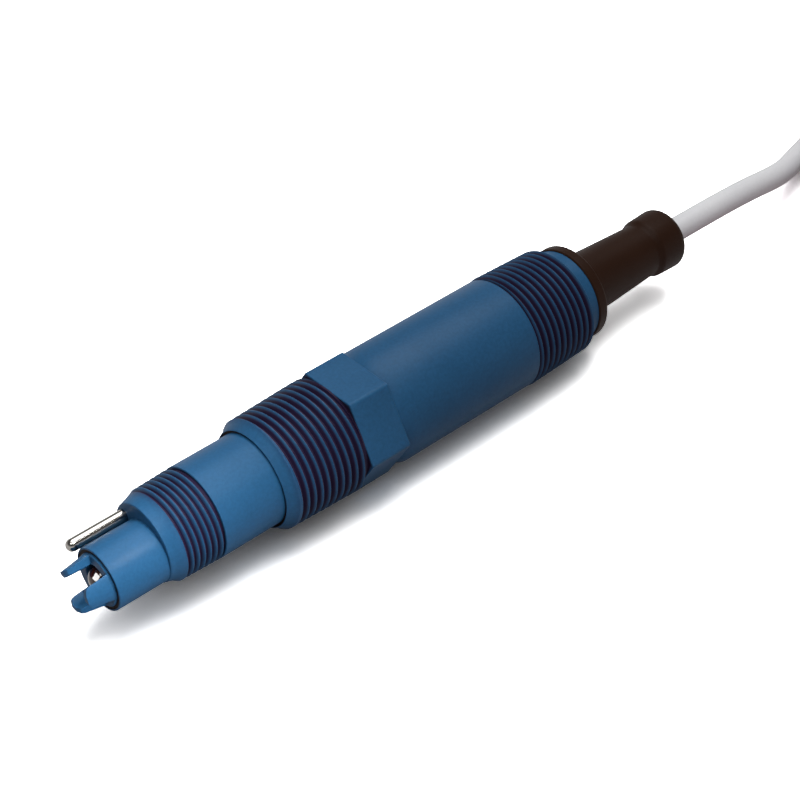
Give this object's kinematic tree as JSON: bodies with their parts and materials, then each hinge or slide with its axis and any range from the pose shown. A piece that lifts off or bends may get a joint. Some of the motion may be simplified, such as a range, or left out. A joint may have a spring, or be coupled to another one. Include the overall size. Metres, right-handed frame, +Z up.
{
  "type": "ph electrode",
  "caption": "In-line pH electrode: pronged guard round a glass bulb, offset nose with a steel rod, taper pipe threads, hexagon, barrel, strain boot and cable.",
  "frame": {"origin": "on the floor under the middle of the electrode, from prong tips to the boot's end", "axes": "+X along the electrode's axis from the sensing tip to the cable, +Z up, with the electrode lying on its side"},
  "size_m": [0.4317, 0.0698, 0.04],
  "materials": {
    "housing_plastic": "glass-filled moulding, satin",
    "seal_rubber": "matt black elastomer",
    "electrode_glass": "clear blown glass",
    "rod_steel": "polished stainless steel",
    "junction_ceramic": "porous ceramic",
    "silver_wire": "chlorided silver",
    "inner_plastic": "natural moulding",
    "wire_insulation": "thin insulation",
    "board_laminate": "green solder mask",
    "component_black": "moulded black",
    "boot_rubber": "matt rubber",
    "cable_jacket": "light grey jacket",
    "tie_strap": "woven hook-and-loop strap",
    "sleeve_black": "shrunk sleeve",
    "lead_clear": "natural insulation",
    "lead_black": "black insulation",
    "lead_red": "red insulation",
    "lead_white": "white insulation",
    "lead_green": "green insulation",
    "ferrule_tin": "tinned copper"
  },
  "bodies": {
    "root": {"front_housing": "housing_plastic", "rear_housing": "housing_plastic", "guard_crown": "housing_plastic", "crown_seal": "seal_rubber", "housing_seal": "seal_rubber", "stem_seal": "seal_rubber", "rod_seal": "seal_rubber", "glass_electrode": "electrode_glass", "ground_rod": "rod_steel", "reference_junction": "junction_ceramic", "inner_element": "silver_wire", "reference_element": "silver_wire", "temperature_element": "silver_wire", "stem_cap": "inner_plastic", "chamber_bulkhead": "inner_plastic", "rear_plug": "inner_plastic", "cable_clamp": "inner_plastic", "sensor_leads": "wire_insulation", "cable_cores": "wire_insulation", "preamp_board": "board_laminate", "board_components": "component_black", "board_headers": "component_black", "strain_boot": "boot_rubber", "cable": "cable_jacket", "cable_hank": "cable_jacket", "cable_tail": "cable_jacket", "cable_entry": "cable_jacket", "hank_ties": "tie_strap", "end_sleeve": "sleeve_black", "lead_1": "lead_clear", "lead_2": "lead_black", "lead_3": "lead_red", "lead_4": "lead_white", "lead_5": "lead_green", "lead_ferrules": "ferrule_tin"}
  },
  "joints": []
}
